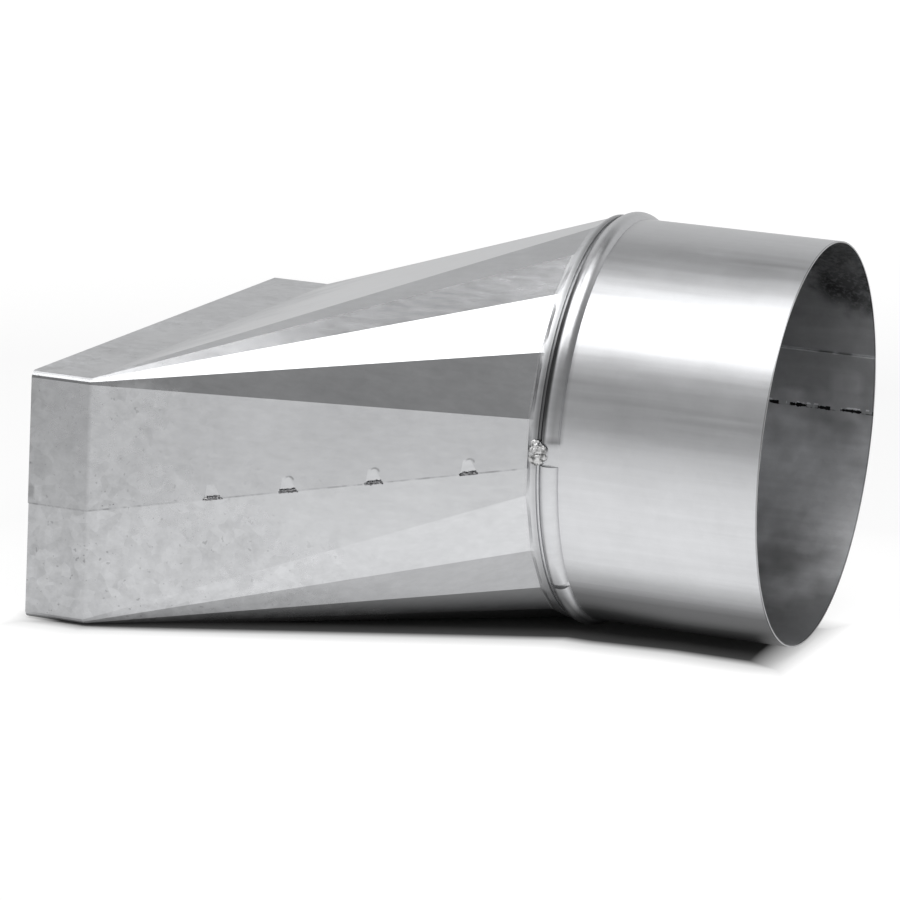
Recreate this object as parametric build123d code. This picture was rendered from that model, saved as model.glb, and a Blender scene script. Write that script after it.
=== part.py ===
# Sheet metal duct reducer: a flat rectangular duct end that turns into a round one.
# The body is one folded sheet, closed by a lap seam along its near narrow side and held
# by four pressed joints. The round collar is a second rolled strip with a bead, pushed
# into the neck of the body and tacked there.
# X runs along the duct from the rectangular end to the round end, Y across, Z up.
# The origin is the middle of the footprint, on the surface the reducer lies on.
from build123d import *
from math import acos, atan2, cos, degrees, hypot, pi, radians, sin, sqrt
import os

# Sheet
sheet = 0.6

# Rectangular end, outside sizes
rect_width = 224.0
rect_height = 92.0
rect_collar = 23.3
bend_radius = 3.0

# Faceted body between the two ends
transition = 154.4
first_fold = 9.5
upper_folds = (28.0, 46.0, 61.5, 76.5)
lower_folds = (30.0, 46.0, 60.5, 76.5)

# Lap seam of the body, on the near narrow side
seam_height = 43.0
seam_turn = 4.2
seam_lap = 11.0

# Neck that takes the round collar
neck_blend = 1.5
neck_straight = 2.1
neck_clearance = 0.1

# Round collar, outside sizes
round_diameter = 149.0
bead_gap = 0.9
bead_width = 7.4
bead_height = 2.4
spigot = 73.8
collar_insert = 1.9

# Lap of the round collar, on the far side
collar_lap_start = -2.0
collar_lap_width = 23.0
stitch_count = 6
stitch_length = 8.0
stitch_height = 1.3

# Pressed joints along the body seam: a tongue bent inwards over an open slot
joint_places = (68.0, 94.5, 124.5, 157.5)
joint_height = 4.8
joint_head = 2.6
joint_foot = 6.2
joint_depth = 1.1
joint_over_seam = 0.4
joint_slot_length = 6.8
joint_slot_height = 1.0

# Snip at the lower near bend of the open end
snip_length = 3.8
snip_height = 2.6

# Tack weld between neck and bead, on the near side
tack_turn = 0.5
tack_length = 7.2
tack_height = 8.4
tack_proud = 1.6
tack_shift = 0.7

# Places where the bead is pressed in: turn, length along the bead and height left
bead_presses = ((0.4, 8.4, 1.1), (-42.5, 2.6, 1.5))

# Places that follow from the sizes above
round_radius = round_diameter / 2
neck_inner = round_radius + neck_clearance
neck_outer = neck_inner + sheet
axis_height = round_radius + bead_height
x_fold = rect_collar
x_joint = x_fold + transition
x_cylinder = x_joint + neck_blend
x_neck = x_cylinder + neck_straight
x_bead = x_neck + bead_gap
x_crest = x_bead + bead_width / 2
x_spigot = x_bead + bead_width
x_rim = x_spigot + spigot
x_end = x_neck - collar_insert
bead_top = round_radius + bead_height
seam_joint_height = axis_height - neck_outer * sin(radians(seam_turn))
tucked_fold = degrees(acos(cos(radians(first_fold)) - sheet / neck_outer))

# The four corners with their fold turns, clockwise from the upper near one.
# The lower near corner is tucked in by one sheet, so that it passes under the lap.
far_upper = (first_fold,) + upper_folds
far_lower = (first_fold,) + lower_folds
near_lower = (tucked_fold,) + lower_folds
corners = ((-1, 1, far_upper), (1, 1, far_upper), (1, -1, far_lower), (-1, -1, near_lower))


def section(radius, centres, step_height):
    # Corner points of one cross section of the sheet's outside, clockwise from the seam
    points = []
    for (side, level, turns), (centre_y, centre_z) in zip(corners, centres):
        corner = []
        for turn in turns:
            y = centre_y + side * radius * cos(radians(turn))
            z = centre_z + level * radius * sin(radians(turn))
            corner.append((y, z))
        if side * level == 1:
            corner.reverse()
        points += corner
    upper_y = points[0][0]
    lower_y = points[-1][0]
    return [(upper_y, step_height)] + points + [(lower_y, step_height)]


def bend_centre(side, level, turns):
    # Centre of a bend of the rectangular end, its flats lying on the outside sizes
    tuck = sheet if turns is near_lower else 0.0
    y = side * (rect_width / 2 - tuck - bend_radius * cos(radians(turns[0])))
    z = rect_height / 2 + level * (rect_height / 2 - bend_radius * sin(radians(turns[-1])))
    return y, z


def inset(points, distance):
    # The same section moved inwards by a distance, edge by edge
    moved = []
    count = len(points)
    for i in range(count):
        y0, z0 = points[i - 1]
        y1, z1 = points[i]
        y2, z2 = points[(i + 1) % count]
        a = hypot(y1 - y0, z1 - z0)
        b = hypot(y2 - y1, z2 - z1)
        n0 = ((z1 - z0) / a, -(y1 - y0) / a)
        n1 = ((z2 - z1) / b, -(y2 - y1) / b)
        cross = n0[0] * n1[1] - n0[1] * n1[0]
        y = y1 + distance * (n1[1] - n0[1]) / cross
        z = z1 + distance * (n0[0] - n1[0]) / cross
        moved.append((y, z))
    return moved


def with_step(points, height):
    # The seam's step set to a height
    return [(points[0][0], height)] + points[1:-1] + [(points[-1][0], height)]


def skin(stations):
    # A closed solid with flat faces between sections that have matching edges
    faces = []
    count = len(stations[0][1])
    for (x0, ring0), (x1, ring1) in zip(stations, stations[1:]):
        for i in range(count):
            k = (i + 1) % count
            corners = [(x0, *ring0[i]), (x0, *ring0[k]), (x1, *ring1[k]), (x1, *ring1[i])]
            faces.append(Face(Wire.make_polygon(corners)))
    for x, ring in (stations[0], stations[-1]):
        faces.append(Face(Wire.make_polygon([(x, y, z) for y, z in ring])))
    return Solid(Shell(faces))


def ring_wire(x, radius, points):
    # A circle cut into arcs at the same turns as the corners of a section
    turns = [atan2(z - axis_height, y) for y, z in points]
    edges = []
    for i in range(len(turns)):
        start = turns[i]
        end = turns[(i + 1) % len(turns)]
        if end > start:
            end -= 2 * pi
        middle = (start + end) / 2
        spots = []
        for turn in (start, middle, end):
            spots.append((x, radius * cos(turn), axis_height + radius * sin(turn)))
        edges.append(ThreePointArc(*spots))
    return Wire(edges)


def polygon_wire(x, points):
    return Wire.make_polygon([(x, y, z) for y, z in points])


def drum(x0, x1, radius):
    # A plain cylinder along the duct
    plane = Plane((x0, 0, axis_height), x_dir=(0, 1, 0), z_dir=(1, 0, 0))
    return plane * Cylinder(radius, x1 - x0, align=(Align.CENTER, Align.CENTER, Align.MIN))


def strip(height, depth):
    # Profile of the rolled strip with a bead of some height. The bead is solid at no depth,
    # otherwise its inner side follows the outer one at that depth
    bend = (bead_width ** 2 / 4 + height ** 2) / (2 * height)
    inner = round_radius - (depth or sheet)
    outer_line = [(x, round_radius) for x in (x_end, x_bead, x_spigot, x_rim)]
    half = sqrt((bend - depth) ** 2 - (bend - height - depth) ** 2)
    inner_line = [(x_end, inner), (x_crest - half, inner), (x_crest + half, inner), (x_rim, inner)]
    edges = [Line(outer_line[0], outer_line[1]), Line(outer_line[2], outer_line[3])]
    edges += [Line(outer_line[0], inner_line[0]), Line(outer_line[3], inner_line[3])]
    edges.append(ThreePointArc(outer_line[1], (x_crest, round_radius + height), outer_line[2]))
    if depth:
        edges += [Line(inner_line[0], inner_line[1]), Line(inner_line[2], inner_line[3])]
        edges.append(ThreePointArc(inner_line[1], (x_crest, round_radius + height - depth), inner_line[2]))
    else:
        edges.append(Line(inner_line[0], inner_line[3]))
    return make_face(edges)


def sector(profile, start, sweep):
    # A profile turned about the duct's axis, from a start measured upwards from the far side
    return Pos(0, 0, axis_height) * Rot(start, 0, 0) * revolve(profile, Axis.X, sweep)


def tongue(growth, head_level, foot_top, foot_bottom):
    # Wedge with the outline of a pressed tongue, larger all round by some growth. It starts
    # from one level at its head and opens to two at its foot, all over the sheet's outside
    half_foot = joint_foot / 2 + growth
    half_head = joint_head / 2 + growth
    top = joint_height + growth
    outline = Polygon((-half_foot, 0), (half_foot, 0), (half_head, top), (-half_head, top), align=None)
    side = Polygon((top, head_level), (0, foot_top), (0, foot_bottom), align=None)
    return extrude(outline, -foot_bottom, both=True) & extrude(Plane.YZ * side, half_foot, both=True)


def to_footprint(shape):
    # Lengths are set out from the open end, the finished part is centred on its length
    return Pos(-x_rim / 2, 0, 0) * shape


# Body: outer and inner skins of the folded sheet
rect_outer = section(bend_radius, [bend_centre(*corner) for corner in corners], seam_height)
round_outer = section(neck_outer, [(0, axis_height)] * len(corners), seam_joint_height)
rect_inner = with_step(inset(rect_outer, sheet), seam_height + seam_lap)
round_inner = with_step(inset(round_outer, sheet), seam_joint_height + seam_lap)
outside = skin([(0, rect_outer), (x_fold, rect_outer), (x_joint, round_outer)])
inside = skin([(0, rect_inner), (x_fold, rect_inner), (x_joint, round_inner)])
body = outside - inside

# Neck: the facets are rolled round over a short strip, then a plain cylinder
outer_corners = round_outer[1:-1]
inner_corners = round_inner[1:-1]
blend_outer = Solid.make_loft(
    [polygon_wire(x_joint, outer_corners), ring_wire(x_cylinder, neck_outer, outer_corners)],
    ruled=True,
)
blend_inner = Solid.make_loft(
    [polygon_wire(x_joint, inner_corners), ring_wire(x_cylinder, neck_inner, inner_corners)],
    ruled=True,
)
neck = drum(x_cylinder, x_neck, neck_outer) - drum(x_cylinder, x_neck, neck_inner)
body = body + (blend_outer - blend_inner) + neck

# Pressed joints: tongues pushed in through both sheets, each with its open slot below
flat_y = -neck_outer * cos(radians(first_fold))
flat_run = Vector(transition, flat_y + rect_width / 2, seam_joint_height - seam_height)
flat_normal = Vector(flat_y + rect_width / 2, -transition, 0)
pocket = tongue(2 * sheet, -sheet, -sheet, -joint_depth - 2 * sheet)
recess = tongue(0, 0, sheet, -joint_depth)
slot = Box(joint_slot_length, joint_slot_height, 8 * sheet, align=(Align.CENTER, Align.MAX, Align.CENTER))
for place in joint_places:
    along = (place - x_fold) / transition
    spot = Vector(x_fold, -rect_width / 2, seam_height) + flat_run * along
    plate = Plane(spot, x_dir=flat_run, z_dir=flat_normal) * Pos(0, joint_over_seam, 0)
    body += plate * pocket
    body -= plate * recess
    body -= plate * slot

# Snip at the lower near bend of the open end
snip_depth = bend_radius + 2 * sheet
snip_shape = Polygon(
    (-1, snip_height * 1.25), (snip_length, -snip_height * 0.1), (-1, -snip_height), align=None
)
snip_face = Plane.XZ * snip_shape
body -= Pos(0, -rect_width / 2 + snip_depth, 0) * extrude(snip_face, snip_depth + 2 * sheet)

# Round collar: a rolled strip with a half round bead, turned sector by sector
full_strip = strip(bead_height, sheet)
filled_strip = strip(bead_height, 0)
lap_turn = degrees(collar_lap_width / (round_radius - sheet))
wall_turn = degrees(sheet / bead_top)

# Lap of the strip on the far side: the inner end lies under the outer one
sectors = [sector(strip(bead_height, 2 * sheet), collar_lap_start, lap_turn)]
plain_start = collar_lap_start + lap_turn

# Places where the bead is pressed in, each between two short walls
for turn, length, left in bead_presses:
    press_turn = degrees(length / bead_top)
    press_start = 180 - turn - press_turn / 2
    sectors.append(sector(full_strip, plain_start, press_start - wall_turn - plain_start))
    sectors.append(sector(filled_strip, press_start - wall_turn, wall_turn))
    sectors.append(sector(strip(left, sheet), press_start, press_turn))
    sectors.append(sector(filled_strip, press_start + press_turn, wall_turn))
    plain_start = press_start + press_turn + wall_turn
sectors.append(sector(full_strip, plain_start, collar_lap_start + 360 - plain_start))
collar = sectors[0]
for piece in sectors[1:]:
    collar += piece

# Stitch slots along the lap's edge
axis_shift = Pos(0, 0, axis_height)
stitch_pitch = (spigot - 8) / stitch_count
for i in range(stitch_count):
    x = x_spigot + 5 + stitch_pitch * (i + 0.5)
    cut = Box(stitch_length, 2 * sheet, stitch_height, align=(Align.CENTER, Align.CENTER, Align.MIN))
    cut = Pos(x, round_radius - 2 * sheet, 0) * cut
    collar -= axis_shift * Rot(collar_lap_start, 0, 0) * cut

# Tack weld: a lump in the groove between neck and bead
tack_core = (tack_height / 2) ** 2
tack_ball = (tack_core + tack_proud ** 2) / (2 * tack_proud)
tack_place = axis_shift * Rot(180 - tack_turn, 0, 0)
tack_place *= Pos(x_neck + tack_shift, neck_outer + tack_proud - tack_ball, 0)
tack_box = Box(tack_length, 2 * tack_ball, tack_height)
tack_lump = (tack_place * Sphere(tack_ball)) & (tack_place * tack_box)
tack_gap = neck_clearance / 2
tack_lump -= drum(x_joint, x_neck + tack_gap, neck_outer + tack_gap)
tack_lump -= drum(x_joint, x_rim, round_radius - sheet / 2)
collar += tack_lump

os.makedirs("parts", exist_ok=True)
export_step(to_footprint(body), "parts/transition_body.step")
export_step(to_footprint(collar), "parts/round_collar.step")
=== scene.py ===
# Looks of a galvanised sheet metal duct reducer, on the measured frame of its solids.
import math

import bpy
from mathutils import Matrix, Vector


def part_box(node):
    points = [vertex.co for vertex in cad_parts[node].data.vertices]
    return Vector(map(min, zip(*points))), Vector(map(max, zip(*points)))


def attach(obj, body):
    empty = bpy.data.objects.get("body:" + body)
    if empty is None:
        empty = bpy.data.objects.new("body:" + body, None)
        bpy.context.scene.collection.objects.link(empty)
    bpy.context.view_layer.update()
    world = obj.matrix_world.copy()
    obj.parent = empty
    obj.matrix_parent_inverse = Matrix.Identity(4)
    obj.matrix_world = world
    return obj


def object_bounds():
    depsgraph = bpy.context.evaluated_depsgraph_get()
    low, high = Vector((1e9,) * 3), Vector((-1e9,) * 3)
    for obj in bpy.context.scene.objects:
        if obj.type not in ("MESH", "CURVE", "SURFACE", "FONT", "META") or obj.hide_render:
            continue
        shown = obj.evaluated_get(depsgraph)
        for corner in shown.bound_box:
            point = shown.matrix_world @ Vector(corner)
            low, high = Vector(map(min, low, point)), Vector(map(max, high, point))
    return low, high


bl_info = {
    "name": "Duct Reducer",
    "version": (1, 0, 0),
    "blender": (4, 5, 0),
    "location": "View3D > Sidebar > Reducer",
    "description": "Dresses a rectangular to round duct reducer in galvanised sheet",
    "category": "Object",
}

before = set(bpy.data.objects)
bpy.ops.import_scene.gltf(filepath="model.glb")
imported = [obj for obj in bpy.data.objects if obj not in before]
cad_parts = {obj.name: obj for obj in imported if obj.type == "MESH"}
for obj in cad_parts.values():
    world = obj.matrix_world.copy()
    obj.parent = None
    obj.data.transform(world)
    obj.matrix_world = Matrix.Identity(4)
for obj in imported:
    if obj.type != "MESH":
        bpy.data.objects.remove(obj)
CAD_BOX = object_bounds()
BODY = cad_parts["transition_body"]
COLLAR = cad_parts["round_collar"]
BODY_LOW, BODY_HIGH = (Vector(corner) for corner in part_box("transition_body"))
COLLAR_LOW, COLLAR_HIGH = (Vector(corner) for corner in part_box("round_collar"))

# Places on the reducer that the marks, burrs and lights follow, in metres
AXIS_HEIGHT = (COLLAR_LOW.z + COLLAR_HIGH.z) / 2
OPEN_END = BODY_LOW.x
NECK_END = BODY_HIGH.x
NECK_RADIUS = BODY_HIGH.z - AXIS_HEIGHT
RECT_COLLAR = 0.0233
TRANSITION = 0.1544
FIRST_FOLD = math.radians(9.5)
FOLD_LINE = OPEN_END + RECT_COLLAR
SEAM_START = 0.043
SEAM_CLIMB = 0.1839
TONGUES = (0.068, 0.0945, 0.1245, 0.1575)
FIRST_BURR = 0.0305
STRIP_INSIDE = 0.0739
STITCH_START = NECK_END + 0.0133
STITCH_PITCH = 0.010967

# Ranges that several marks share: where most noise lies, and where a face counts as looking up
NOISE_SPREAD = (0.3, 0.7)
LOOKS_UP = (0.75, 0.9)


# Settings

class ReducerFinish(bpy.types.PropertyGroup):
    """Colours and surface of the zinc"""

    sheet_colour: bpy.props.FloatVectorProperty(
        name="Sheet colour", description="Base colour of the folded sheet",
        subtype="COLOR", size=3, min=0.0, max=1.0, default=(0.520, 0.525, 0.536),
    )
    strip_colour: bpy.props.FloatVectorProperty(
        name="Strip colour", description="Base colour of the rolled strip",
        subtype="COLOR", size=3, min=0.0, max=1.0, default=(0.535, 0.540, 0.552),
    )
    sheet_roughness: bpy.props.FloatProperty(
        name="Sheet roughness", description="Mean roughness of the folded sheet",
        subtype="FACTOR", min=0.0, max=1.0, default=0.17,
    )
    strip_roughness: bpy.props.FloatProperty(
        name="Strip roughness", description="Mean roughness of the rolled strip",
        subtype="FACTOR", min=0.0, max=1.0, default=0.305,
    )
    fold_angle: bpy.props.FloatProperty(
        name="Fold angle", description="Edges flatter than this are rolled, not folded",
        subtype="ANGLE", min=0.0, default=math.radians(9.0),
    )


class ReducerMarks(bpy.types.PropertyGroup):
    """Weld drops and burrs"""

    weld_drops: bpy.props.IntProperty(
        name="Weld drops", description="Drops of metal on the tack weld", min=1, default=26,
    )
    weld_drop_size: bpy.props.FloatProperty(
        name="Drop size", description="Radius of the largest drop",
        unit="LENGTH", min=0.0, default=0.0018,
    )
    burr_count: bpy.props.IntProperty(
        name="Burrs", description="Ragged chips along each torn edge", min=1, default=52,
    )
    burr_size: bpy.props.FloatProperty(
        name="Burr size", description="Length of the largest chip",
        unit="LENGTH", min=0.0, default=0.0009,
    )
    seed: bpy.props.IntProperty(name="Seed", description="Seed of the scatter", default=7)


class ReducerStudio(bpy.types.PropertyGroup):
    """Camera, floor and light"""

    camera_place: bpy.props.FloatVectorProperty(
        name="Camera place", description="Where the camera stands",
        subtype="TRANSLATION", unit="LENGTH", size=3, default=(0.56267, -1.54062, 0.42485),
    )
    camera_turn: bpy.props.FloatVectorProperty(
        name="Camera turn", description="How the camera is turned",
        subtype="EULER", size=3,
        default=(math.radians(77.3585), math.radians(-2.8895), math.radians(21.0764)),
    )
    camera_lens: bpy.props.FloatProperty(
        name="Lens", description="Focal length of the camera, in millimetres",
        min=10.0, default=179.23,
    )
    softbox_glow: bpy.props.FloatProperty(
        name="Softbox", description="Brightness of the softboxes over the reducer",
        min=0.0, default=2.9,
    )
    surround: bpy.props.FloatProperty(
        name="Surround", description="Brightness of the studio around the light",
        min=0.0, default=0.40,
    )
    backdrop_glow: bpy.props.FloatProperty(
        name="Backdrop", description="Brightness of the backdrop behind the reducer",
        min=0.0, default=0.77,
    )
    floor_size: bpy.props.FloatProperty(
        name="Floor size", description="Width of the floor", unit="LENGTH", min=1.0, default=14.0,
    )


# Node helpers

def link(tree, start, end):
    """Joins an output to an input"""
    tree.links.new(start, end)


def node(tree, kind, **settings):
    """A new node with its settings and the values of its inputs"""
    made = tree.nodes.new(kind)
    for name, value in settings.items():
        if name == "inputs":
            for key, setting in value.items():
                made.inputs[key].default_value = setting
        else:
            setattr(made, name, value)
    return made


def new_material(name):
    """A material with one shader and nothing else"""
    material = bpy.data.materials.new(name)
    material.use_nodes = True
    tree = material.node_tree
    tree.nodes.clear()
    output = node(tree, "ShaderNodeOutputMaterial")
    shader = node(tree, "ShaderNodeBsdfPrincipled")
    link(tree, shader.outputs["BSDF"], output.inputs["Surface"])
    return material, tree, shader


def object_place(tree, stretch=(1.0, 1.0, 1.0)):
    """Place on the object, stretched along its axes"""
    place = node(tree, "ShaderNodeTexCoord")
    mapping = node(tree, "ShaderNodeMapping", inputs={"Scale": stretch})
    link(tree, place.outputs["Object"], mapping.inputs["Vector"])
    return mapping.outputs["Vector"]


def axes(tree, output="Object"):
    """The three parts of a place on the object, or of its normal"""
    place = node(tree, "ShaderNodeTexCoord")
    split = node(tree, "ShaderNodeSeparateXYZ")
    link(tree, place.outputs[output], split.inputs["Vector"])
    return split.outputs["X"], split.outputs["Y"], split.outputs["Z"]


def noise(tree, vector, scale, detail=3.0, roughness=0.5):
    """Grey noise"""
    settings = {"Scale": scale, "Detail": detail, "Roughness": roughness}
    made = node(tree, "ShaderNodeTexNoise", inputs=settings)
    link(tree, vector, made.inputs["Vector"])
    return made.outputs["Fac"]


def noise_colour(tree, vector, scale):
    """Coloured noise"""
    made = node(tree, "ShaderNodeTexNoise", inputs={"Scale": scale, "Detail": 2.0})
    link(tree, vector, made.inputs["Vector"])
    return made.outputs["Color"]


def to_range(tree, value, low, high, from_low=0.0, from_high=1.0):
    """Brings a value from one range to another and holds it at both ends"""
    made = node(tree, "ShaderNodeMapRange", inputs={
        "From Min": from_low, "From Max": from_high, "To Min": low, "To Max": high,
    })
    link(tree, value, made.inputs["Value"])
    return made.outputs["Result"]


def rising(tree, value, start, full):
    """Nothing up to the start and one from the full place on"""
    return to_range(tree, value, 0.0, 1.0, start, full)


def falling(tree, value, full, gone):
    """One up to the full place and nothing from where it is gone"""
    return to_range(tree, value, 1.0, 0.0, full, gone)


def combine(tree, operation, first, second=0.0):
    """One step of arithmetic with sockets or numbers"""
    made = node(tree, "ShaderNodeMath", operation=operation)
    for socket, value in zip(made.inputs, (first, second)):
        if isinstance(value, (int, float)):
            socket.default_value = value
        else:
            link(tree, value, socket)
    return made.outputs["Value"]


def total(tree, *values):
    """Sum of sockets and numbers"""
    result = values[0]
    for value in values[1:]:
        result = combine(tree, "ADD", result, value)
    return result


def product(tree, *values):
    """Product of sockets and numbers"""
    result = values[0]
    for value in values[1:]:
        result = combine(tree, "MULTIPLY", result, value)
    return result


def distance(tree, first, second):
    """Length of a step with these two sides"""
    squares = total(tree, product(tree, first, first), product(tree, second, second))
    return combine(tree, "SQRT", squares)


def band(tree, value, centre, half, soft):
    """One inside a band round a centre, falling to nothing over a soft edge"""
    offset = combine(tree, "ABSOLUTE", combine(tree, "SUBTRACT", value, centre))
    return falling(tree, offset, half, half + soft)


def turn_band(tree, turn, centre, half, soft):
    """A band of turns about the duct's axis, given in degrees"""
    return band(tree, turn, math.radians(centre), math.radians(half), math.radians(soft))


def arc(tree, across, up, centre_across, centre_up):
    """The upper right part of a thin small ring"""
    radius, half, soft = 0.0018, 0.00018, 0.0003
    right = combine(tree, "SUBTRACT", across, centre_across)
    over = combine(tree, "SUBTRACT", up, centre_up)
    ring = band(tree, distance(tree, right, over), radius, half, soft)
    return product(tree, ring, rising(tree, over, 0.0, 0.0008), rising(tree, right, -0.0014, -0.0006))


def without(tree, mask, depth):
    """Falls from one to one less the depth where the mask is full"""
    return combine(tree, "SUBTRACT", 1.0, combine(tree, "MULTIPLY", mask, depth))


def layered(tree, *layers):
    """All marks together, each given as its mask and how much it darkens"""
    return product(tree, *(without(tree, mask, depth) for mask, depth in layers))


def painted_underside_shade(tree, depth, steepest, flattest):
    """Painted shade: falls from one to one less the depth where a low face looks down"""
    full_height, gone_height = 0.060, 0.066
    facing = falling(tree, axes(tree, "Normal")[2], flattest, steepest)
    low = falling(tree, axes(tree)[2], full_height, gone_height)
    return without(tree, product(tree, facing, low), depth)


def tint(tree, colour, amount):
    """A colour made lighter or darker by an amount"""
    made = node(tree, "ShaderNodeVectorMath", operation="SCALE")
    made.inputs[0].default_value = colour
    link(tree, amount, made.inputs["Scale"])
    return made.outputs["Vector"]


def add_bump(tree, shader, height, depth):
    """Small relief on the surface, without any change of shape"""
    bump = node(tree, "ShaderNodeBump", inputs={"Strength": 1.0, "Distance": depth})
    link(tree, height, bump.inputs["Height"])
    link(tree, bump.outputs["Normal"], shader.inputs["Normal"])


# Materials

def crystals(tree, plain):
    """Tone of the zinc's crystals, with their edges a little ruffled"""
    size, ruffle_size = 310.0, 90.0
    ruffle = (0.006, 0.006, 0.006)
    flakes = node(tree, "ShaderNodeTexVoronoi", feature="F1", inputs={"Scale": size, "Randomness": 1.0})
    ruffled = node(tree, "ShaderNodeVectorMath", operation="MULTIPLY_ADD")
    link(tree, noise_colour(tree, plain, ruffle_size), ruffled.inputs[0])
    ruffled.inputs[1].default_value = ruffle
    link(tree, plain, ruffled.inputs[2])
    link(tree, ruffled.outputs["Vector"], flakes.inputs["Vector"])
    split = node(tree, "ShaderNodeSeparateColor")
    link(tree, flakes.outputs["Color"], split.inputs["Color"])
    return split.outputs["Red"]


def zinc_material(name, colour, roughness, grain_stretch, marks):
    """Galvanised steel: clouding, rolling lines, small ripples, and the piece's own marks with painted light
    and shade
    """
    material, tree, shader = new_material(name)
    plain = object_place(tree)
    along = object_place(tree, stretch=grain_stretch)
    clouds = noise(tree, plain, 26.0, detail=5.0, roughness=0.62)
    mottle = noise(tree, plain, 190.0, detail=4.0, roughness=0.65)
    lines = noise(tree, along, 420.0, detail=3.0, roughness=0.6)
    fine = noise(tree, plain, 1400.0, detail=2.0)
    ripple = noise(tree, plain, 14.0, detail=1.0)
    # The marks bring painted light and shade into the tone
    dulled, tone_marks_and_shade, rough_marks = marks(tree)

    cloud_tone = to_range(tree, clouds, -0.05, 0.05, *NOISE_SPREAD)
    line_tone = to_range(tree, lines, -0.035, 0.035, *NOISE_SPREAD)
    mottle_tone = to_range(tree, mottle, -0.11, 0.11, 0.32, 0.68)
    crystal_tone = to_range(tree, crystals(tree, plain), -0.055, 0.075)
    spots = product(tree, total(tree, mottle_tone, crystal_tone), total(tree, 0.12, dulled))
    tone = product(tree, total(tree, 1.0, cloud_tone, line_tone, spots), tone_marks_and_shade)
    link(tree, tint(tree, colour, tone), shader.inputs["Base Color"])

    upward = to_range(tree, axes(tree, "Normal")[2], 0.0, 0.16, *LOOKS_UP)
    cloud_rough = to_range(tree, clouds, -0.015, 0.03, *NOISE_SPREAD)
    line_rough = to_range(tree, lines, -0.015, 0.03, *NOISE_SPREAD)
    dull_rough = product(tree, dulled, to_range(tree, mottle, 0.14, 0.24, 0.35, 0.65))
    rough = total(tree, roughness, upward, cloud_rough, line_rough, dull_rough, rough_marks)
    link(tree, rough, shader.inputs["Roughness"])
    shader.inputs["Metallic"].default_value = 1.0

    height = total(
        tree, product(tree, ripple, 0.9), product(tree, lines, 0.02), product(tree, fine, 0.008),
        product(tree, mottle, product(tree, dulled, 0.05)),
    )
    add_bump(tree, shader, height, 0.0006)
    return material


def seam_place(tree, x, y, z):
    """Where the near narrow side is, and how far a place lies over the seam on it"""
    near_edge = -0.062
    faces_near = falling(tree, axes(tree, "Normal")[1], -0.6, -0.5)
    near = product(tree, falling(tree, y, near_edge - 0.004, near_edge), faces_near)
    past_fold = combine(tree, "MAXIMUM", combine(tree, "SUBTRACT", x, FOLD_LINE), 0.0)
    seam_height = total(tree, product(tree, past_fold, SEAM_CLIMB), SEAM_START)
    return near, combine(tree, "SUBTRACT", z, seam_height)


def seam_marks_and_shade(tree, x, over_seam):
    """The seam's broken dark line, painted shade and a painted highlight at the dented corner of its open
    end, and curved painted shade over three tongues
    """
    along_seam = object_place(tree, (1.0, 0.2, 0.2))
    ragged = noise(tree, along_seam, 230.0, detail=3.0, roughness=0.7)
    worn = noise(tree, along_seam, 34.0, detail=2.0)

    by_burr = band(tree, x, OPEN_END + 0.031, 0.003, 0.004)
    showing = combine(tree, "MAXIMUM", by_burr, to_range(tree, worn, 0.45, 1.0, 0.4, 0.6))
    thin_line = band(tree, over_seam, -0.0001, 0.00022, 0.00025)
    line = product(tree, thin_line, to_range(tree, ragged, 0.15, 1.0, 0.42, 0.62), showing)

    # Painted shade in the dented corner and a painted highlight on the raised edge beside it
    dent_shade = product(tree, band(tree, over_seam, 0.0045, 0.0016, 0.0016),
                   band(tree, x, OPEN_END + 0.0008, 0.0012, 0.0008))
    lip_highlight = product(tree, band(tree, over_seam, 0.004, 0.0024, 0.001),
                  band(tree, x, OPEN_END + 0.0038, 0.0011, 0.0009))
    # Curved painted shade over three tongues
    arc_height = 0.0037
    tongue_arc_shade = total(tree, *(arc(tree, x, over_seam, OPEN_END + along, arc_height) for along in TONGUES[1:]))
    tongue_arc_shade = product(tree, tongue_arc_shade, to_range(tree, ragged, 0.4, 1.0, 0.4, 0.6))
    return (line, 0.42), (dent_shade, 0.26), (lip_highlight, -0.14), (tongue_arc_shade, 0.4)


def sheet_marks_and_shade(tree):
    """Duller zinc at the open end, marks, painted shade and a painted highlight along the seam, and painted
    shade near the open end, at the neck's edge and on low faces that look down
    """
    x, y, z = axes(tree)
    plain = object_place(tree)
    patches = noise(tree, plain, 38.0, detail=4.0, roughness=0.6)
    specks = rising(tree, noise(tree, plain, 560.0, detail=1.0), 0.70, 0.74)
    from_end = total(tree, x, product(tree, z, 0.9), to_range(tree, patches, -0.045, 0.045, *NOISE_SPREAD))
    dulled = falling(tree, from_end, -0.075, 0.02)

    near, over_seam = seam_place(tree, x, y, z)
    lap = product(tree, rising(tree, over_seam, -0.0001, 0.0003), to_range(tree, z, 1.0, 0.3, 0.085, 0.12))
    before_fold = falling(tree, x, FOLD_LINE - 0.0006, FOLD_LINE + 0.0012)
    end_shade = product(tree, before_fold, to_range(tree, z, 0.25, 1.0, 0.02, 0.075))
    near_marks = seam_marks_and_shade(tree, x, over_seam) + ((lap, 0.09), (end_shade, 0.24))

    # Painted shade at the neck's edge, strongest above the axis
    at_rim = rising(tree, x, NECK_END - 0.002, NECK_END - 0.0008)
    neck_rim_shade = product(tree, at_rim, to_range(tree, z, 0.35, 1.0, AXIS_HEIGHT, AXIS_HEIGHT + 0.006))
    layers = [(product(tree, near, mask), depth) for mask, depth in near_marks]
    layers += [(neck_rim_shade, 0.42), (product(tree, dulled, specks), 0.3)]
    # Painted shade on low faces that look down
    tone = product(tree, layered(tree, *layers), painted_underside_shade(tree, 0.76, -0.45, -0.82))
    return dulled, tone, to_range(tree, x, 0.0, 0.2, NECK_END - 0.0046, NECK_END - 0.0032)


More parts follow.
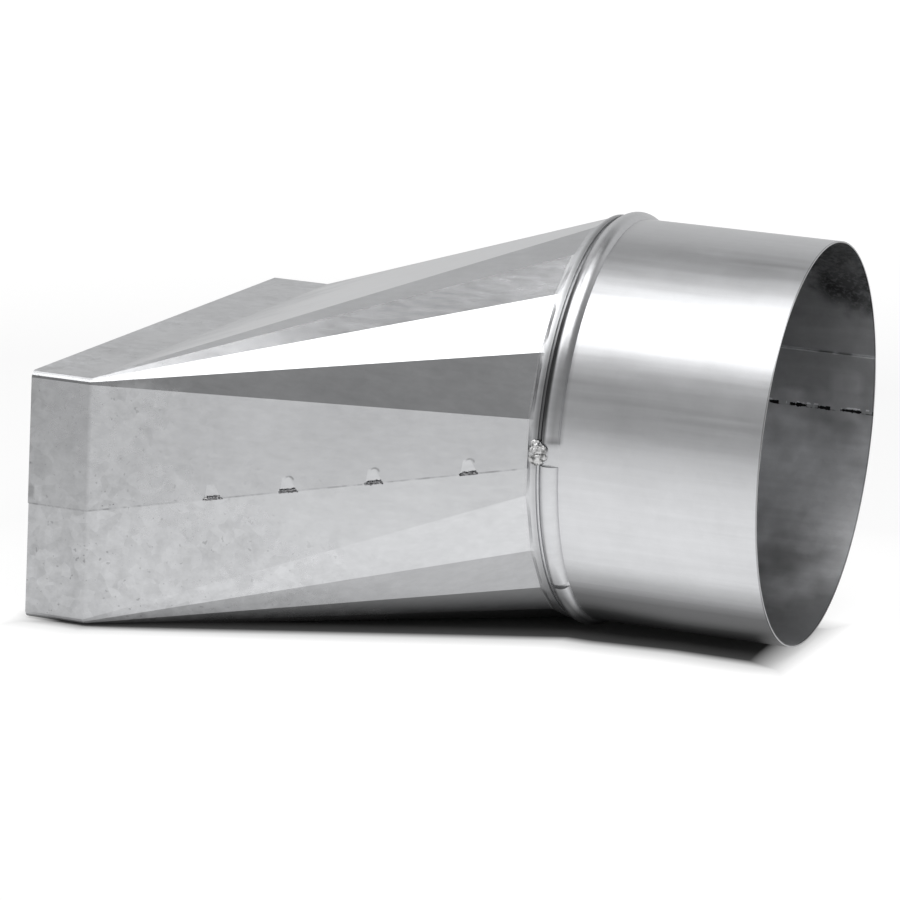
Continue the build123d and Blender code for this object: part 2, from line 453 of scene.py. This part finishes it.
def stitch_shade_and_line(tree, x, turn):
    """Painted shade in the stitch slots, with torn edges, and the thin dark line that joins them"""
    along_strip = object_place(tree, (1.0, 0.1, 0.1))
    uneven = noise(tree, along_strip, 75.0, detail=1.0)
    torn = noise(tree, along_strip, 330.0, detail=3.0, roughness=0.7)

    # Painted shade in the slots, one dash at each stitch
    steps = product(tree, combine(tree, "SUBTRACT", x, STITCH_START), 1.0 / STITCH_PITCH)
    shift = to_range(tree, uneven, -0.12, 0.12, 0.35, 0.65)
    dash = band(tree, total(tree, combine(tree, "FRACT", steps), shift), 0.5, 0.31, 0.04)
    width = to_range(tree, torn, math.radians(0.05), math.radians(0.72), 0.32, 0.62)
    offset = combine(tree, "ABSOLUTE", combine(tree, "SUBTRACT", turn, math.radians(-1.65)))
    edge = combine(tree, "LESS_THAN", offset, width)
    thread = product(tree, turn_band(tree, turn, -2.0, 0.14, 0.12),
                     to_range(tree, torn, 0.1, 1.0, 0.42, 0.56))
    return combine(tree, "MAXIMUM", product(tree, edge, dash), product(tree, thread, 0.7))


def inside_marks_and_light(tree, x, level, turn):
    """Stitch slots with painted shade, a painted highlight on the lap's far edge, speckled darkening towards
    the top, painted light in a band below the axis, and pale and dark places on the strip's inside
    """
    plain = object_place(tree)
    speckle = noise(tree, plain, 620.0, detail=3.0, roughness=0.6)
    drift = noise(tree, plain, 55.0, detail=2.0)
    chipped = noise(tree, plain, 380.0, detail=2.0)
    broken = noise(tree, object_place(tree, (1.0, 0.1, 0.1)), 150.0, detail=1.0)
    by_mouth = COLLAR_HIGH.x - 0.011

    flecks = product(tree, turn_band(tree, turn, -0.8, 0.12, 0.25), rising(tree, chipped, 0.53, 0.60))
    # Painted highlight along the lap's far edge
    far_edge_highlight = product(tree, turn_band(tree, turn, 15.9, 0.2, 0.35), rising(tree, broken, 0.44, 0.54))
    # Speckled, darker towards the top of the inside
    darker_top_level = total(tree, level, to_range(tree, drift, -0.014, 0.014, 0.35, 0.65))
    darker_top = product(tree, rising(tree, darker_top_level, 0.042, 0.058),
                   to_range(tree, speckle, 0.55, 1.0, 0.38, 0.56))
    patch = product(tree, band(tree, x, by_mouth, 0.005, 0.006), band(tree, level, 0.049, 0.005, 0.006),
                    to_range(tree, speckle, 0.6, 1.0, 0.38, 0.5))
    # Painted light in a band below the axis, inside
    lit_band_level = total(tree, level, to_range(tree, drift, -0.01, 0.01, *NOISE_SPREAD))
    lit_band_below = band(tree, lit_band_level, -0.034, 0.010, 0.024)
    smear = product(tree, band(tree, x, by_mouth, 0.0045, 0.003), band(tree, level, 0.004, 0.007, 0.004))
    return (
        (stitch_shade_and_line(tree, x, turn), 0.97), (far_edge_highlight, -0.75), (flecks, -0.9),
        (darker_top, 0.72), (patch, 0.7), (lit_band_below, -1.15), (smear, -0.22),
    )


def strip_marks_and_shade(tree):
    """Painted shade in the hollow by the neck, on the bead and on low faces that look down, and the inside
    darker as painted shade, with its own marks
    """
    x, y, z = axes(tree)
    level = combine(tree, "SUBTRACT", z, AXIS_HEIGHT)
    turn = combine(tree, "ARCTAN2", level, y)
    inner = falling(tree, distance(tree, y, level), STRIP_INSIDE + 0.00005, STRIP_INSIDE + 0.0002)

    # Painted shade in the hollow between neck and bead
    neck_groove_shade = product(tree, band(tree, x, NECK_END + 0.0015, 0.0014, 0.0010),
                     to_range(tree, turn, 0.05, 1.0, 2.1, 2.5))
    weld_turn = 175.9
    over_weld = falling(tree, turn, math.radians(weld_turn), math.radians(weld_turn + 0.6))
    # Painted shade on the bead's side up to the weld, and a patch of it beside the weld
    bead_side_shade = product(tree, band(tree, x, NECK_END + 0.0068, 0.0008, 0.0022),
                        rising(tree, turn, 2.3, 2.65), over_weld)
    bead_cap_shade = product(tree, band(tree, x, NECK_END + 0.0058, 0.0016, 0.0018),
                       turn_band(tree, turn, weld_turn, 0.2, 1.6))
    rim_face = band(tree, x, COLLAR_HIGH.x, 0.0003, 0.0002)

    # The inside is made darker as painted shade
    layers = [(bead_side_shade, 0.32), (bead_cap_shade, 0.3), (neck_groove_shade, 0.66), (inner, 0.28), (rim_face, 0.45)]
    layers += [(product(tree, inner, mask), depth) for mask, depth in inside_marks_and_light(tree, x, level, turn)]
    # Painted shade on low faces that look down, kept off the inside
    shade = combine(tree, "MAXIMUM", inner, painted_underside_shade(tree, 0.79, -0.53, -0.74))
    crown = to_range(tree, axes(tree, "Normal")[2], 0.0, -0.10, *LOOKS_UP)
    rough = total(tree, product(tree, inner, 0.04), crown)
    return product(tree, inner, 0.25), product(tree, layered(tree, *layers), shade), rough


def weld_material():
    """Dull pitted weld metal"""
    material, tree, shader = new_material("weld_metal")
    pits = noise(tree, object_place(tree), 620.0, detail=2.0, roughness=0.55)
    tone = to_range(tree, pits, 0.35, 1.1, 0.36, 0.54)
    link(tree, tint(tree, (0.56, 0.56, 0.56), tone), shader.inputs["Base Color"])
    link(tree, to_range(tree, pits, 0.72, 0.45, *NOISE_SPREAD), shader.inputs["Roughness"])
    shader.inputs["Metallic"].default_value = 1.0
    add_bump(tree, shader, pits, 0.0003)
    return material


def torn_edge_and_shade_material():
    """Dark torn edge of the sheet, also standing as painted shade in the seam's slots"""
    material, tree, shader = new_material("torn_edge_and_slot_shade")
    grain = noise(tree, object_place(tree), 1600.0, detail=2.0)
    tone = to_range(tree, grain, 0.35, 1.25, 0.38, 0.62)
    link(tree, tint(tree, (0.36, 0.36, 0.37), tone), shader.inputs["Base Color"])
    link(tree, to_range(tree, grain, 0.75, 0.55, *NOISE_SPREAD), shader.inputs["Roughness"])
    shader.inputs["Metallic"].default_value = 1.0
    return material


def floor_material():
    """Pale glowing floor, with a painted shadow under the reducer and a painted pool of light in front of it
    """
    material, tree, shader = new_material("studio_floor")
    shader.inputs["Base Color"].default_value = (0.25, 0.25, 0.25, 1.0)
    shader.inputs["Roughness"].default_value = 0.9
    shader.inputs["Specular IOR Level"].default_value = 0.0
    shader.inputs["Emission Color"].default_value = (1.0, 1.0, 1.0, 1.0)

    # The painted shadow narrows from the open end to the neck, and a little more under the collar
    x, y = axes(tree)[:2]
    under_body = to_range(tree, x, 0.111, 0.031, -0.108, 0.05)
    under_collar = to_range(tree, x, 0.0, -0.004, 0.06, 0.09)
    half_width = total(tree, under_body, under_collar)
    side = combine(tree, "SUBTRACT", combine(tree, "ABSOLUTE", y), half_width)
    # Share of the painted glow that comes back in each step beside the painted shadow
    steps = ((0.03, -0.014, -0.001), (0.67, -0.001, 0.0066), (0.30, 0.0066, 0.020))
    beside = total(tree, *(to_range(tree, side, 0.0, share, start, full) for share, start, full in steps))
    beyond = rising(tree, combine(tree, "ABSOLUTE", x), 0.118, 0.138)
    outside_painted_shadow = combine(tree, "MAXIMUM", beside, beyond)

    # Painted pool of light in front of the reducer, and a glow that rises again far away
    painted_light_centre = (0.08, -0.12, 0.0)
    away = node(tree, "ShaderNodeVectorMath", operation="DISTANCE")
    link(tree, object_place(tree), away.inputs[0])
    away.inputs[1].default_value = painted_light_centre
    painted_light_pool = to_range(tree, away.outputs["Value"], 1.02, 0.70, 0.03, 0.32)
    far = to_range(tree, away.outputs["Value"], 0.0, 0.35, 0.6, 1.6)
    link(tree, product(tree, outside_painted_shadow, total(tree, painted_light_pool, far)), shader.inputs["Emission Strength"])
    return material


def flag_material():
    """Black cloth of the flags"""
    material, tree, shader = new_material("black_flag")
    weave = noise(tree, object_place(tree), 300.0)
    link(tree, tint(tree, (0.02, 0.02, 0.02), to_range(tree, weave, 0.6, 1.4)), shader.inputs["Base Color"])
    shader.inputs["Roughness"].default_value = 0.9
    return material


def glow_material(name, strength):
    """Even glow of the backdrop"""
    material = bpy.data.materials.new(name)
    material.use_nodes = True
    tree = material.node_tree
    tree.nodes.clear()
    output = node(tree, "ShaderNodeOutputMaterial")
    glow = node(tree, "ShaderNodeEmission", inputs={"Strength": strength})
    link(tree, glow.outputs["Emission"], output.inputs["Surface"])
    return material


# Mesh helpers

def mesh_piece(name, points, faces, material):
    """A mesh in the scene with one material"""
    mesh = bpy.data.meshes.new(name)
    mesh.from_pydata(points, [], faces)
    mesh.update()
    piece = bpy.data.objects.new(name, mesh)
    bpy.context.scene.collection.objects.link(piece)
    mesh.materials.append(material)
    return piece


def dress(cad_node, material):
    """The node's own mesh, with a new material in every slot"""
    slots = cad_node.material_slots
    if not slots:
        cad_node.data.materials.append(material)
    for slot in slots:
        slot.material = material


def tree_with(name, sockets):
    """A geometry tree with named inputs for its sizes"""
    tree = bpy.data.node_groups.new(name, "GeometryNodeTree")
    tree.interface.new_socket("Geometry", in_out="INPUT", socket_type="NodeSocketGeometry")
    keys = {}
    for label, kind in sockets:
        keys[label] = tree.interface.new_socket(label, in_out="INPUT", socket_type=kind).identifier
    tree.interface.new_socket("Geometry", in_out="OUTPUT", socket_type="NodeSocketGeometry")
    return tree, keys, node(tree, "NodeGroupInput"), node(tree, "NodeGroupOutput")


def roll_smooth(cad_node, fold_angle):
    """Rolled faces are shaded smooth and the folds stay sharp"""
    tree, keys, start, end = tree_with("rolled_faces", (("Fold angle", "NodeSocketFloat"),))
    joined_within = 0.000002
    weld = node(tree, "GeometryNodeMergeByDistance", inputs={"Distance": joined_within})
    smooth_faces = node(tree, "GeometryNodeSetShadeSmooth", domain="FACE")
    angle = node(tree, "GeometryNodeInputMeshEdgeAngle")
    flat = node(tree, "FunctionNodeCompare", data_type="FLOAT", operation="LESS_THAN")
    smooth_edges = node(tree, "GeometryNodeSetShadeSmooth", domain="EDGE")
    smooth_edges.inputs["Shade Smooth"].default_value = False
    sharp = node(tree, "FunctionNodeBooleanMath", operation="NOT")
    link(tree, start.outputs["Geometry"], weld.inputs["Geometry"])
    link(tree, weld.outputs["Geometry"], smooth_faces.inputs["Geometry"])
    link(tree, smooth_faces.outputs["Geometry"], smooth_edges.inputs["Geometry"])
    link(tree, angle.outputs["Unsigned Angle"], flat.inputs["A"])
    link(tree, start.outputs["Fold angle"], flat.inputs["B"])
    link(tree, flat.outputs["Result"], sharp.inputs[0])
    link(tree, sharp.outputs[0], smooth_edges.inputs["Selection"])
    link(tree, smooth_edges.outputs["Geometry"], end.inputs["Geometry"])
    modifier = cad_node.modifiers.new("rolled_faces", "NODES")
    modifier.node_group = tree
    modifier[keys["Fold angle"]] = fold_angle


def grow(name, seed_mesh, tree, keys, settings):
    """Runs a tree on a small mesh and keeps the result as a plain mesh"""
    piece = bpy.data.objects.new(name, seed_mesh)
    bpy.context.scene.collection.objects.link(piece)
    modifier = piece.modifiers.new(name, "NODES")
    modifier.node_group = tree
    for label, value in settings.items():
        modifier[keys[label]] = value
    bpy.context.view_layer.update()
    ready = piece.evaluated_get(bpy.context.evaluated_depsgraph_get())
    mesh = bpy.data.meshes.new_from_object(ready)
    piece.modifiers.remove(modifier)
    piece.data = mesh
    mesh.name = name
    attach(piece, "root")
    return piece


def chips(tree, start, points, material, stretch, swing):
    """Small lumps of random size and turn on a set of points"""
    tilt, smallest = 0.6, 0.3
    lump = node(tree, "GeometryNodeMeshIcoSphere", inputs={"Radius": 1.0, "Subdivisions": 2})
    shaped = node(tree, "GeometryNodeTransform", inputs={"Scale": stretch})
    link(tree, lump.outputs["Mesh"], shaped.inputs["Geometry"])
    turn = node(tree, "FunctionNodeRandomValue", data_type="FLOAT_VECTOR")
    turn.inputs[0].default_value = (-tilt, -swing, -tilt)
    turn.inputs[1].default_value = (tilt, swing, tilt)
    link(tree, start.outputs["Seed"], turn.inputs["Seed"])
    shares = {"Min": smallest, "Max": 1.0}
    share = node(tree, "FunctionNodeRandomValue", data_type="FLOAT", inputs=shares)
    link(tree, start.outputs["Seed"], share.inputs["Seed"])
    size = node(tree, "ShaderNodeMath", operation="MULTIPLY")
    link(tree, share.outputs[1], size.inputs[0])
    link(tree, start.outputs["Size"], size.inputs[1])
    spread = node(tree, "GeometryNodeInstanceOnPoints")
    link(tree, points, spread.inputs["Points"])
    link(tree, shaped.outputs["Geometry"], spread.inputs["Instance"])
    link(tree, turn.outputs[0], spread.inputs["Rotation"])
    link(tree, size.outputs["Value"], spread.inputs["Scale"])
    real = node(tree, "GeometryNodeRealizeInstances")
    link(tree, spread.outputs["Instances"], real.inputs["Geometry"])
    painted = node(tree, "GeometryNodeSetMaterial", inputs={"Material": material})
    link(tree, real.outputs["Geometry"], painted.inputs["Geometry"])
    return painted.outputs["Geometry"]


def scatter_tree(name, material, stretch, swing):
    """Chips at random places on the faces of the mesh it is given"""
    tree, keys, start, end = tree_with(name, (
        ("Density", "NodeSocketFloat"), ("Size", "NodeSocketFloat"), ("Seed", "NodeSocketInt"),
    ))
    spots = node(tree, "GeometryNodeDistributePointsOnFaces")
    link(tree, start.outputs["Geometry"], spots.inputs["Mesh"])
    link(tree, start.outputs["Density"], spots.inputs["Density"])
    link(tree, start.outputs["Seed"], spots.inputs["Seed"])
    link(tree, chips(tree, start, spots.outputs["Points"], material, stretch, swing), end.inputs["Geometry"])
    return tree, keys


def seam_spot(along, over):
    """A place on the near flat, so far along the duct and over the seam"""
    share = (along - RECT_COLLAR) / TRANSITION
    y = BODY_LOW.y + share * (-BODY_LOW.y - NECK_RADIUS * math.cos(FIRST_FOLD))
    z = SEAM_START + share * TRANSITION * SEAM_CLIMB + over
    return Vector((OPEN_END + along, y, z))


# Operators

class REDUCER_OT_folded_body(bpy.types.Operator):
    """Dress the folded body in galvanised sheet"""

    bl_idname = "reducer.folded_body"
    bl_label = "Folded body"

    def execute(self, context):
        finish = context.scene.reducer_finish
        rolled_along = (0.25, 1.0, 1.0)
        zinc = zinc_material("zinc_sheet", tuple(finish.sheet_colour), finish.sheet_roughness,
                             rolled_along, sheet_marks_and_shade)
        dress(BODY, zinc)
        roll_smooth(BODY, finish.fold_angle)
        return {"FINISHED"}


class REDUCER_OT_round_collar(bpy.types.Operator):
    """Dress the round collar in rolled galvanised strip"""

    bl_idname = "reducer.round_collar"
    bl_label = "Round collar"

    def execute(self, context):
        finish = context.scene.reducer_finish
        brushed_along = (0.04, 1.0, 1.0)
        zinc = zinc_material("zinc_strip", tuple(finish.strip_colour), finish.strip_roughness,
                             brushed_along, strip_marks_and_shade)
        dress(COLLAR, zinc)
        roll_smooth(COLLAR, finish.fold_angle)
        return {"FINISHED"}


class REDUCER_OT_tack_weld(bpy.types.Operator):
    """Cover the tack weld with drops of metal"""

    bl_idname = "reducer.tack_weld"
    bl_label = "Tack weld"

    def patch(self, half_width, half_height, bulge):
        """A small bulging ellipse over the weld, which the drops are set on"""
        centre = Vector((NECK_END + 0.0007, -NECK_RADIUS - 0.0004, AXIS_HEIGHT + 0.0007))
        points = []
        faces = []
        rings, steps = 3, 10
        for ring in range(rings + 1):
            share = ring / rings
            for step in range(steps):
                turn = 2 * math.pi * step / steps
                points.append(centre + Vector((
                    half_width * share * math.cos(turn), -bulge * (1 - share ** 2),
                    half_height * share * math.sin(turn),
                )))
        for ring in range(rings):
            for step in range(steps):
                a = ring * steps + step
                b = ring * steps + (step + 1) % steps
                faces.append((a, b, b + steps, a + steps))
        mesh = bpy.data.meshes.new("weld_patch")
        mesh.from_pydata(points, [], faces)
        return mesh

    def execute(self, context):
        marks = context.scene.reducer_marks
        half_width, half_height, bulge = 0.0031, 0.0045, 0.0011
        drop_shape, swing = (1.0, 0.7, 1.0), 3.1
        area = math.pi * half_width * half_height
        tree, keys = scatter_tree("weld_drops", weld_material(), drop_shape, swing)
        settings = {"Density": marks.weld_drops / area, "Size": marks.weld_drop_size, "Seed": marks.seed}
        grow("weld_drops", self.patch(half_width, half_height, bulge), tree, keys, settings)
        return {"FINISHED"}


class REDUCER_OT_burrs(bpy.types.Operator):
    """Set ragged dark chips along the torn edges of the seam, which also fill its slots as painted shade"""

    bl_idname = "reducer.burrs"
    bl_label = "Burrs"

    def execute(self, context):
        marks = context.scene.reducer_marks
        half_rise = 0.00045
        chip_shape, swing = (1.0, 0.3, 0.26), 0.45
        # Place along the duct, length, height over the seam and depth of each torn edge
        edges = (
            (FIRST_BURR, 0.0045, 0.0012, 0.0004), (TONGUES[0], 0.0064, 0.0, 0.0006),
            (TONGUES[1], 0.0060, 0.0, 0.0006), (TONGUES[2], 0.0054, 0.0, 0.0006),
            (TONGUES[3], 0.0054, 0.0, 0.0006),
        )
        points = []
        faces = []
        area = 0.0
        for along, length, over, depth in edges:
            first = len(points)
            for side, rise in ((-1, -half_rise), (1, -half_rise), (1, half_rise), (-1, half_rise)):
                spot = seam_spot(along + side * length / 2, over + rise)
                points.append(spot + Vector((0.0, depth, 0.0)))
            faces.append((first, first + 1, first + 2, first + 3))
            area += length * 2 * half_rise
        strips = bpy.data.meshes.new("torn_strips")
        strips.from_pydata(points, [], faces)
        # Dark chips, partly burrs and partly painted shade in the slots
        tree, keys = scatter_tree("burrs", torn_edge_and_shade_material(), chip_shape, swing)
        density = len(edges) * marks.burr_count / area
        grow("burrs", strips, tree, keys, {"Density": density, "Size": marks.burr_size, "Seed": marks.seed})
        return {"FINISHED"}


class REDUCER_OT_studio(bpy.types.Operator):
    """Set the pale floor, the soft light and the camera"""

    bl_idname = "reducer.studio"
    bl_label = "Studio"

    def panel(self, name, corners, material):
        """A flat piece of the studio with four corners"""
        return mesh_piece(name, corners, [(0, 1, 2, 3)], material)

    def room(self, studio):
        """Floor, backdrop and two black flags, one beside the open end and one overhead"""
        half = studio.floor_size / 2
        low = CAD_BOX[0][2] - 0.0003
        corners = [(-half, -half, low), (half, -half, low), (half, half, low), (-half, half, low)]
        floor = self.panel("floor", corners, floor_material())

        # Distance of the backdrop behind the reducer, and its height
        back, top = 3.2, 5.4
        corners = [(-half, back, 0.0), (half, back, 0.0), (half, back, top), (-half, back, top)]
        wall = self.panel("backdrop", corners, glow_material("backdrop_glow", studio.backdrop_glow))

        black = flag_material()
        # Place of the flag beside the open end, half its width and its height
        beside, reach, height = -1.3, 0.9, 1.0
        corners = [
            (beside, -reach, 0.0), (beside, reach, 0.0), (beside, reach, height), (beside, -reach, height),
        ]
        flag = self.panel("flag", corners, black)

        # Both ends of the overhead flag, and how far it hangs from the duct's axis
        left, right, away = -0.72, 1.0, 2.0
        low_edge, high_edge = (
            (-away * math.cos(turn), AXIS_HEIGHT + away * math.sin(turn))
            for turn in (math.radians(113.0), math.radians(129.5))
        )
        corners = [(left, *low_edge), (right, *low_edge), (right, *high_edge), (left, *high_edge)]
        top_flag = self.panel("top_flag", corners, black)

    def softbox(self, scene, name, glow, left, right, low_turn, high_turn):
        """A soft light over the reducer, between two turns up from the near side"""
        distance_up = 1.4
        half = math.radians(high_turn - low_turn) / 2
        lift = math.radians(low_turn + high_turn) / 2
        light = bpy.data.lights.new(name, "AREA")
        light.shape = "RECTANGLE"
        light.size = right - left
        light.size_y = 2 * distance_up * math.tan(half)
        light.energy = glow * math.pi * light.size * light.size_y
        lamp = bpy.data.objects.new(name, light)
        middle = (left + right) / 2
        lamp.location = (middle, -distance_up * math.cos(lift), AXIS_HEIGHT + distance_up * math.sin(lift))
        lamp.rotation_euler = (math.radians(90.0) - lift, 0.0, 0.0)
        scene.collection.objects.link(lamp)

    def lights(self, scene, studio):
        """Three softboxes and the even glow of the studio around them"""
        # Left and right end in metres, low and high turn in degrees
        for name, *reach in (
            ("long_softbox", -1.65, 0.95, 50.0, 80.0),
            ("short_softbox", -0.27, 0.95, 80.0, 93.3),
            ("end_softbox", -1.65, -0.67, 80.0, 98.0),
        ):
            self.softbox(scene, name, studio.softbox_glow, *reach)
        world = bpy.data.worlds.new("studio_surround")
        world.use_nodes = True
        surround = world.node_tree.nodes["Background"]
        surround.inputs["Color"].default_value = (1.0, 1.0, 1.0, 1.0)
        surround.inputs["Strength"].default_value = studio.surround
        scene.world = world
        scene.view_settings.view_transform = "Standard"

    def camera(self, scene, studio):
        """The camera, with its picture as wide as its sensor"""
        lens = bpy.data.cameras.new("camera")
        lens.lens = studio.camera_lens
        lens.sensor_width = 36.0
        lens.sensor_fit = "HORIZONTAL"
        lens.clip_end = 60.0
        camera = bpy.data.objects.new("camera", lens)
        camera.location = studio.camera_place
        camera.rotation_euler = studio.camera_turn
        scene.collection.objects.link(camera)
        scene.camera = camera

    def execute(self, context):
        studio = context.scene.reducer_studio
        self.room(studio)
        self.lights(context.scene, studio)
        self.camera(context.scene, studio)
        return {"FINISHED"}


class REDUCER_PT_panel(bpy.types.Panel):
    """Lists the reducer's pieces and settings"""

    bl_idname = "REDUCER_PT_panel"
    bl_label = "Duct reducer"
    bl_space_type = "VIEW_3D"
    bl_region_type = "UI"
    bl_category = "Reducer"

    def draw(self, context):
        layout = self.layout
        scene = context.scene
        for group in (scene.reducer_finish, scene.reducer_marks, scene.reducer_studio):
            for name in group.__annotations__:
                layout.prop(group, name)
        for operator in OPERATORS:
            layout.operator(operator.bl_idname)


OPERATORS = (
    REDUCER_OT_folded_body, REDUCER_OT_round_collar, REDUCER_OT_tack_weld, REDUCER_OT_burrs,
    REDUCER_OT_studio,
)
CLASSES = (ReducerFinish, ReducerMarks, ReducerStudio) + OPERATORS + (REDUCER_PT_panel,)


def register():
    for item in CLASSES:
        bpy.utils.register_class(item)
    bpy.types.Scene.reducer_finish = bpy.props.PointerProperty(type=ReducerFinish)
    bpy.types.Scene.reducer_marks = bpy.props.PointerProperty(type=ReducerMarks)
    bpy.types.Scene.reducer_studio = bpy.props.PointerProperty(type=ReducerStudio)


def unregister():
    del bpy.types.Scene.reducer_studio
    del bpy.types.Scene.reducer_marks
    del bpy.types.Scene.reducer_finish
    for item in reversed(CLASSES):
        bpy.utils.unregister_class(item)


def main():
    register()
    bpy.ops.reducer.folded_body()
    bpy.ops.reducer.round_collar()
    bpy.ops.reducer.tack_weld()
    bpy.ops.reducer.burrs()
    bpy.ops.reducer.studio()


if __name__ == "__main__":
    main()
